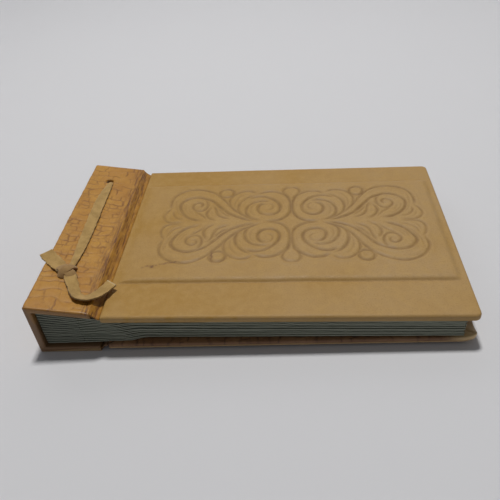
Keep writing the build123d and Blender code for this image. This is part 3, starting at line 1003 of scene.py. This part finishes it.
def make_binding(croc):
    # the grid is finer round the hole that shows
    fine_start, fine_end, step, fine_step = hole_head - 4.5, hole_head + 4.5, 0.8, 0.35
    rows = rim_lines(0, album_depth, np.concatenate([
        steps(0, fine_start, step), steps(fine_start, fine_end, fine_step),
        steps(fine_end, album_depth, step),
    ]))
    top_end = margin_top(margin_edge_x - spine_x)
    outer, outer_normal = outline_with_arcs([
        (margin_edge_x, top_end, 0), (spine_x, spine_height, 1.6),
        (spine_x, 0, 1.3), (margin_edge_x, 0, 0),
    ], 0.75)
    inner_top = margin_top(wall) - wall
    inner, inner_normal = outline_with_arcs([
        (margin_edge_x, wall, 0), (spine_x + wall, wall, 0.6), (spine_x + wall, inner_top, 0.6),
        (margin_edge_x, top_end - wall, 0),
    ], inner_spacing)
    profile = np.vstack([outer, inner])
    normal = -np.vstack([outer_normal, inner_normal])  # the left of the outline is inside
    along = travelled_along(outer)
    run_edge = np.hypot(margin_edge_x - spine_x, spine_height - top_end)
    across = run_edge - along  # 0 at the upper spine edge, positive on the front margin
    outer_count, columns = len(outer), len(profile)
    across_grid, along_grid = [g.ravel() for g in np.meshgrid(across, rows)]
    height, fields = binding_relief(np.abs(across_grid), along_grid + 7 * (across_grid < 0))
    below = across_grid < -spine_height  # underside of the back margin
    from_hole = np.full_like(across_grid, far)
    outer_x = np.tile(outer[:, 0], len(rows)) - spine_x
    for hole_y in (hole_tail, hole_head):
        from_hole = np.minimum(from_hole, np.hypot(outer_x - hole_x, along_grid - hole_y))
    facing = (across_grid > 0) | below
    pit = smooth((hole_radius + 0.25 - from_hole) / hole_wall) * facing
    channel_half = lace_width / 2 + 0.5
    along_channel = np.clip(along_grid, hole_tail, hole_head)
    from_channel = np.hypot(outer_x - hole_x, along_grid - along_channel)
    channel = channel_depth * smooth((channel_half + 0.4 - from_channel) / 0.8) * below
    dimple = dimple_depth * bell(from_hole, dimple_width) * facing
    rim = np.minimum(along_grid, album_depth - along_grid)
    shrink = edge_drop(rim, binding_end_radius)
    keep = smooth(rim / 2.2)
    outer_offset = height * keep - shrink - hole_depth * pit - channel - dimple
    # painted shade on the end rims and in the lace holes
    fields["edge"] = np.clip(bell(rim, 1.0) + pit * 1.4, 0, 1)
    # painted shade on the end faces, stronger on the spine and back margin than on the front margin
    fields["inside"] = bell(rim, 0.35) * np.where(across_grid > 1, 0.3, 0.9)
    # painted highlight along the rounded ends of the back margin's underside
    fields["pale"] = 0.55 * bell(rim, 1.1) * below
    # painted shade in the lace holes, through the same mark as the cracks
    fields["crack"] = np.maximum(fields["crack"], pit)
    grid = np.zeros((len(rows), columns))
    grid[:, :outer_count] = outer_offset.reshape(len(rows), outer_count)
    inside = np.minimum(rows, album_depth - rows)
    recess = np.where(inside > margin_turn_in, lining_thickness - 0.02, 0.0)
    recess = recess[:, None] * (inner[:, 0] < margin_edge_x - 8.0)[None, :]
    grid[:, outer_count:] = -edge_drop(inside, binding_end_radius)[:, None] - recess
    x, z = [profile[None, :, axis] + normal[None, :, axis] * grid for axis in (0, 1)]
    y = np.repeat((tail_y + rows)[:, None], columns, 1)
    points = np.stack([x, y, np.maximum(z, 0.0)], 2)
    place = np.zeros((len(rows), columns, 3))
    place[:, :outer_count, 0] = across[None, :]
    place[:, outer_count:, 0] = inside_place + np.arange(columns - outer_count)[None, :] * inner_spacing
    place[:, :, 1] = rows[:, None]
    wide = {}
    for key, values in fields.items():
        full = np.zeros((len(rows), columns))
        full[:, :outer_count] = values.reshape(len(rows), outer_count)
        wide[key] = full
    # painted shade over the whole inner face of the binding, a little lighter near the top
    wide["inside"][:, outer_count:] = np.where(inner[:, 1] > inner_top - 10, 0.7, 1.0)[None, :]
    faces = tube_faces(len(rows), columns)
    leather = piece("binding_cover", points.reshape(-1, 3), faces, croc, wide, place.reshape(-1, 3))
    outward_normals(leather)
    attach(leather, "binding")
    stand_for(leather, "embossed_leather", "binding_leather")


def hinge_strip(name, croc, start, end, outward, start_across, replaced):
    """Leather of a hinge groove, from the edge of a margin at start to a cover at end, in X and Z."""
    start, end = np.array(start, float), np.array(end, float)
    run = end - start
    length = np.linalg.norm(run)
    run /= length
    side = np.array([-run[1], run[0]])
    if side[1] * outward < 0:
        side = -side
    tucked, end_inset = 1.3, 0.7  # it starts under the margin, and stops short of the tail and head
    share = np.linspace(-tucked, length, 14)
    rows = rim_lines(end_inset, album_depth - end_inset, steps(0, album_depth, 0.9))
    share_grid, row_grid = np.meshgrid(share, rows)
    _, fields = binding_relief(start_across + share_grid.ravel(), row_grid.ravel())
    cracks = fields["crack"].reshape(share_grid.shape)
    rim = np.minimum(row_grid - end_inset, album_depth - end_inset - row_grid)
    sag = -0.55 * np.sin(np.clip(share_grid / length, 0, 1) * math.pi)
    tuck = -0.5 * smooth(-share_grid / tucked)
    height = sag + tuck - 0.35 * cracks * smooth(rim / 2) + 0.12 * ripple(share_grid, row_grid, 16, 75)
    rounded = edge_drop(rim, 0.7)
    upper, lower = height - rounded, rounded - skin
    layers = []
    for offset in (upper, lower):
        x, z = [start[axis] + run[axis] * share_grid + side[axis] * offset for axis in (0, 1)]
        layers.append(np.stack([x, tail_y + row_grid, np.maximum(z, 0.0)], 2).reshape(-1, 3))
    faces = slab_faces(len(rows), len(share))
    wide = {key: np.concatenate([values, 0 * values]) for key, values in fields.items()}
    wide["crease"] = 0 * wide["crease"]
    # painted shade on the strip's ends and on its underside
    wide["edge"] = np.concatenate([bell(rim.ravel(), 0.8), 0 * rim.ravel()])
    wide["inside"] = np.concatenate([0 * rim.ravel(), 1 + 0 * rim.ravel()])
    flat = np.stack([start_across + share_grid.ravel(), row_grid.ravel(), 0 * row_grid.ravel()], 1)
    made = piece(name, np.vstack(layers), faces, croc, wide, np.vstack([flat, flat + (0, 0, 5)]))
    outward_normals(made)
    bend(made, start, end - (0.4, 0))
    stand_for(made, "embossed_leather", replaced)


def make_hinges(croc_front, croc_back):
    margin_run = margin_edge_x - spine_x
    top_end = margin_top(margin_run)
    strip_end = cover_x - 0.15
    across = np.hypot(margin_run, spine_height - top_end)
    hinge_strip(
        "front_hinge_strip", croc_front, (margin_edge_x, top_end - 0.1),
        (strip_end, front_top_z - hinge_groove_front), 1, across, "front_hinge_leather",
    )
    hinge_strip(
        "back_hinge_strip", croc_back, (margin_edge_x, 0.1),
        (strip_end, hinge_groove_back + panel_rise), -1, across, "back_hinge_leather",
    )


# ---------------------------------------------------------------- leaves
def leaf_height(index, x):
    """Height of the middle of a leaf at x, in the closed album."""
    room = front_inner_z - front_fall * (x - cover_x) - back_inner_z - 2 * leaf_clearance
    return back_inner_z + leaf_clearance + (index - 0.5) * room / leaf_count


def leaf_line(index):
    """Middle line of a leaf in X and Z, from its bound edge over its crease to the fore-edge."""
    crease_x = spine_x + crease_from_spine + (leaf_count - index) * crease_stagger
    fore = fore_x - leaf_fore_inset + leaf_wander * math.sin(2.4 * index)
    bound = np.array([bound_x, bound_first + (index - 1) * bound_pitch])
    crease = np.array([crease_x, leaf_height(index, crease_x)])
    end = np.array([fore, leaf_height(index, fore)])
    to_bound = (bound - crease) / np.linalg.norm(bound - crease)
    to_end = (end - crease) / np.linalg.norm(end - crease)
    ease = 3.5  # the crease is rounded this far to each side
    enter, leave = crease + to_bound * ease, crease + to_end * ease
    line = [bound + (enter - bound) * t for t in np.linspace(0, 1, 26, endpoint=False)]
    for t in np.linspace(0, 1, 9, endpoint=False):
        line.append(enter * (1 - t) ** 2 + 2 * crease * t * (1 - t) + leave * t**2)
    line += [leave + (end - leave) * t for t in np.linspace(0, 1, 60)]
    return np.array(line), crease


def make_leaf(index, card):
    line, crease = leaf_line(index)
    chance = np.random.default_rng(200 + index)
    run = np.gradient(line, axis=0)
    run /= np.linalg.norm(run, axis=1)[:, None]
    side = np.stack([-run[:, 1], run[:, 0]], 1)
    travelled = travelled_along(line)
    past_crease = smooth((line[:, 0] - crease[0] + 2) / 14)
    reach = np.clip((line[:, 0] - crease[0]) / (fore_x - leaf_fore_inset - crease[0]), 0, 1)
    slip = chance.uniform(-0.55, 0.55)
    skew = leaf_tail_inset_hinge + (leaf_tail_inset_fore - leaf_tail_inset_hinge) * reach
    low_edge = tail_y + root_inset + (skew - root_inset + slip) * past_crease
    past_root = skew + leaf_depth - album_depth + root_inset + slip
    high_edge = head_y - root_inset + past_root * past_crease
    near = np.array([0, 0.015, 0.05])  # shares of a leaf's depth, close together near its edges
    across = np.concatenate([near, np.linspace(0.09, 0.91, 26), 1 - near[::-1]])
    y = low_edge[:, None] + (high_edge - low_edge)[:, None] * across[None, :]
    x_grid = np.repeat(line[:, 0][:, None], len(across), 1)
    rough = 0.16 * ripple(x_grid, 0 * x_grid, 9, 300 + index)
    y = y + rough * (across[None, :] < 0.01) - rough * (across[None, :] > 0.99)
    free = 0.10 + 0.26 * (1 - reach)  # the leaves lie less flat near the crease
    wave = free[:, None] * (0.55 * ripple(x_grid, y, 80, 9) + 0.45 * ripple(x_grid, y, 38, 400 + index))
    wave *= smooth(travelled / 12)[:, None]
    rows, columns = y.shape
    edge_row = np.zeros((rows, columns))
    edge_row[:, 0] = edge_row[:, -1] = 1
    edge_row[-1, :] = 1
    layers = []
    for offset in (leaf_thickness / 2, -leaf_thickness / 2):
        x, z = [line[:, axis, None] + side[:, axis, None] * (offset + wave) for axis in (0, 1)]
        layers.append(np.stack([x, y, z], 2).reshape(-1, 3))
    count = rows * columns
    flat_x = np.repeat(travelled[:, None], columns, 1).ravel()
    flat = np.stack([flat_x, y.ravel(), np.full(count, 37.0 * index)], 1)
    made = piece(
        f"album_leaf_{index:02d}", np.vstack(layers), slab_faces(rows, columns), card,
        {"edge": np.tile(edge_row.ravel(), 2), "tone": np.full(2 * count, chance.uniform(0.0, 0.5))},
        np.vstack([flat, flat + (0, 0, 9)]),
    )
    outward_normals(made)
    made.data.polygons.foreach_set("use_smooth", np.zeros(len(made.data.polygons), bool))
    bend(made, crease - (2.0, 0), crease + (2.0, 0))
    stand_for(made, "leaf_paper", f"leaf_root_{index:02d}", f"leaf_{index:02d}")


# ---------------------------------------------------------------- lace
def on_margin(u, v, lift):
    """Point on the front margin, u from the spine edge, v from the tail edge, lift above the leather."""
    return (spine_x + u, tail_y + v, margin_top(u) + lift)


def route_points(name, control):
    """Points along the smooth NURBS line with these control points, in millimetres."""
    line = bpy.data.curves.new(name, "CURVE")
    line.dimensions = "3D"
    spline = line.splines.new("NURBS")
    spline.points.add(len(control) - 1)
    for point, place in zip(spline.points, control):
        point.co = (*[value * MM for value in place], 1)
    spline.order_u = 3
    spline.use_endpoint_u = True
    spline.resolution_u = 12
    holder = bpy.data.objects.new(name, line)
    mesh = bpy.data.meshes.new_from_object(holder)
    points = np.array([vertex.co for vertex in mesh.vertices]) / MM
    bpy.data.objects.remove(holder)
    bpy.data.meshes.remove(mesh)
    bpy.data.curves.remove(line)
    return points


def margin_route(name, control):
    """Points along a smooth line over the front margin, through (u, v, lift) control points."""
    return route_points(name, [on_margin(*place) for place in control])


def strap(name, material, line, width, tilt, cup, seed, cut=0.0, across_way=None,
          thickness=lace_thickness, worn=0.0):
    """A flat lace along line. width, tilt (degrees about its own run) and cup are lists spread along it;
    cut slants the far end. across_way is the way across the lace, where that isn't along the margin.
    The last argument is how much painted shade darkens it, as on the knot."""
    count = len(line)
    run = np.gradient(line, axis=0)
    run /= np.linalg.norm(run, axis=1)[:, None]
    travelled = travelled_along(line)
    share = travelled / travelled[-1]
    width, tilt, cup = [np.interp(share, np.linspace(0, 1, len(v)), v) for v in (width, tilt, cup)]
    if across_way is None:
        up = np.array([margin_fall, 0, 1.0]) / math.hypot(margin_fall, 1)
        flat_side = np.cross(np.tile(up, (count, 1)), run)
    else:
        flat_side = np.tile(across_way, (count, 1)).astype(float)
    flat_side /= np.linalg.norm(flat_side, axis=1)[:, None]
    flat_up = np.cross(run, flat_side)
    cos, sin = np.cos(np.radians(tilt))[:, None], np.sin(np.radians(tilt))[:, None]
    side, face = flat_side * cos + flat_up * sin, flat_up * cos - flat_side * sin
    half_section = [-1.0, -0.97, -0.8, -0.5, -0.17, 0.17, 0.5, 0.8, 0.97, 1.0]
    section = [(s, 1.0) for s in half_section] + [(s, -1.0) for s in half_section[::-1]]
    points, edge, end, place = [], [], [], []
    for index in range(count):
        at = travelled[index]
        wobble = 0.04 * math.sin(seed + at * 0.9) + 0.03 * math.sin(2 * seed + at * 2.3)
        slant = run[index] * cut * smooth((share[index] - 0.8) / 0.2)
        is_end = index in (0, count - 1)
        for s, top in section:
            is_side = abs(s) > 0.99
            across = s * width[index] / 2 * (1 + wobble)
            above = top * (0.62 if is_side else 1.0) * thickness / 2 - cup[index] * s * s
            points.append(line[index] + side[index] * across + face[index] * above + slant * s)
            # the side faces are marked for painted shade
            edge.append(float(is_side and not is_end))
            end.append(float(is_end))
            place.append((across, at, 3.0 * top + 40 * seed))
    fields = {"edge": edge, "end": end, "worn": np.full(len(points), worn)}
    made = piece(name, points, tube_faces(count, len(section)), material, fields, place)
    outward_normals(made)
    return made


def make_lace(material):
    half = lace_thickness / 2
    run_line = margin_route("lace_route", [
        (19.6, 163.6, -4.0), (20.2, 163.4, 0.2), (21.0, 158.0, half + 0.6),
        (19.5, 130.0, half + 0.35), (20.6, 96.0, half + 0.35), (21.2, 70.0, half + 0.45),
        (21.4, 52.0, half + 0.9), (21.0, 43.5, half + 1.5),
    ])
    run = strap(
        "lace_long_run", material, run_line,
        [3.6, 5.4, 7.4, 8.4, 8.8, 8.8, 8.6, 8.4, 8.0, 7.2, 5.6, 4.0],
        [8, 3, 0, 0, -2, 0, 3, 5], [0.9, 0.3, 0.0, 0.0, 0.0, 0.1, 0.3, 0.8], 1,
    )
    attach(run, "binding")
    stand_for(run, "lace", "lace_run")

    short_line = margin_route("short_route", [
        (16.0, 39.8, 2.2), (11.4, 44.6, 1.9), (5.5, 50.2, 0.9), (1.0, 54.3, 0.95), (-1.8, 57.4, 1.15),
    ])
    short = strap(
        "lace_short_end", material, short_line, [8.4, 10.4, 10.8, 10.6, 10.4], [4, 0, -3, -4, -6],
        [0.5, 0.2, 0.0, -0.15, -0.2], 2, cut=-0.1,
    )
    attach(short, "binding")
    stand_for(short, "lace", "lace_tail_short")

    long_line = margin_route("long_route", [
        (21.6, 37.0, 2.6), (24.2, 31.0, 1.9), (27.6, 24.6, 1.4), (32.0, 14.6, 1.5),
        (38.6, 12.0, 1.7), (44.6, 15.6, 1.6), (49.6, 22.6, 1.7), (53.4, 30.4, 2.4),
    ])
    long_end = strap(
        "lace_long_end", material, long_line, [7.5, 9.2, 8.2, 8.6, 9.2, 9.4, 8.8, 8.4],
        [0, -6, -14, -24, -26, -18, -10, -4], [0.4, 0.0, -0.3, -0.5, -0.4, -0.2, 0.0, 0.1], 3, cut=0.5,
    )
    # held by the knot at one end
    held_z = margin_top(hole_x)
    bend(long_end, (spine_x + 20.5, held_z), (spine_x + 30.0, held_z))
    stand_for(long_end, "lace", "lace_tail_long")

    channel_z = 0.72
    under_line = route_points("under_route", [
        (spine_x + hole_x, tail_y + along, z) for along, z in (
            (hole_head, 16.0), (hole_head, 9.0), (hole_head - 0.6, 1.2), (hole_head - 7, channel_z),
            (hole_head - 40, channel_z), (hole_tail + 40, channel_z), (hole_tail + 7, channel_z),
            (hole_tail + 0.6, 1.2), (hole_tail, 9.0), (hole_tail, 16.0),
        )
    ])
    under_width = [4.4, 4.4, 5.2, 8.2] + 6 * [8.4] + [8.2, 5.2, 4.4, 4.4]
    under = strap("lace_underside", material, under_line, under_width, [0], [0], 4, across_way=(1, 0, 0))
    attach(under, "binding")
    stand_for(under, "lace", "lace_under")

    make_knot(material)


def make_knot(material):
    """The overhand knot: two turns of the lace pulled flat, one crossing over the other."""
    wraps = [
        # the turn that lies below, from upper left to lower right
        ([(12.4, 43.6, 0.3), (14.2, 41.8, 3.6), (19.4, 38.2, 4.5), (24.4, 34.4, 3.2), (25.6, 32.6, 0.3)],
         [7.0, 8.2, 8.6, 8.0, 6.8], [0]),
        # the turn that crosses over it, from lower left to upper right
        ([(16.8, 32.6, 0.4), (17.6, 34.2, 4.0), (20.2, 38.4, 6.0), (22.6, 43.0, 3.8), (23.0, 45.4, 0.6)],
         [6.0, 6.8, 7.0, 6.2, 5.0], [0, 6, 4, 0, 0]),
    ]
    parts = []
    for number, (control, width, tilt) in enumerate(wraps):
        name = f"wrap_{number}"
        line = margin_route(name, control)
        # the knot's turns are darkened with painted shade
        part = strap(name, material, line, width, tilt, [0.9], 5 + number, thickness=1.5, worn=0.45)
        parts.append(part)
    joined = parts[0]
    with bpy.context.temp_override(active_object=joined, selected_editable_objects=parts):
        bpy.ops.object.join()
    joined.name = "lace_knot_turns"
    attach(joined, "binding")
    stand_for(joined, "lace", "lace_knot")
    return joined


# ---------------------------------------------------------------- assembly
def finish_cad_nodes():
    """Procedural finishes for the CAD pieces that show as they are."""
    finishes = {
        "board": plain_board("board_pulp", (0.20, 0.17, 0.13), (0.27, 0.235, 0.18), 12, 0.9),
        "lining": plain_board("lining_paper", (0.30, 0.20, 0.12), (0.38, 0.27, 0.17), 30, 0.7),
        "strips": plain_board("guard_card", (0.055, 0.059, 0.046), (0.090, 0.095, 0.076), 16, 0.8),
    }
    for name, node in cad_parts.items():
        kind = name.split("_")[-1]
        if kind in finishes:
            for slot in node.material_slots:
                slot.material = finishes[kind]


make_camera()
make_studio()
tan_leather = tooled_leather()
front_croc = croc_leather(
    "croc_tan", (0.51, 0.258, 0.037), (0.40, 0.180, 0.022), (0.225, 0.092, 0.013), (0.130, 0.045, 0.010)
)
# the croc leather of the binding made browner and darker: partly its own reddish brown, partly painted
# shade
back_croc = croc_leather(
    "croc_brown_painted_shade", (0.36, 0.19, 0.085), (0.25, 0.12, 0.05), (0.10, 0.045, 0.02), (0.09, 0.04, 0.018)
)
card = leaf_card()
lace = suede()
make_covers(tan_leather, back_croc)
make_binding(front_croc)
make_hinges(front_croc, back_croc)
for number in range(1, leaf_count + 1):
    make_leaf(number, card)
make_lace(lace)
finish_cad_nodes()
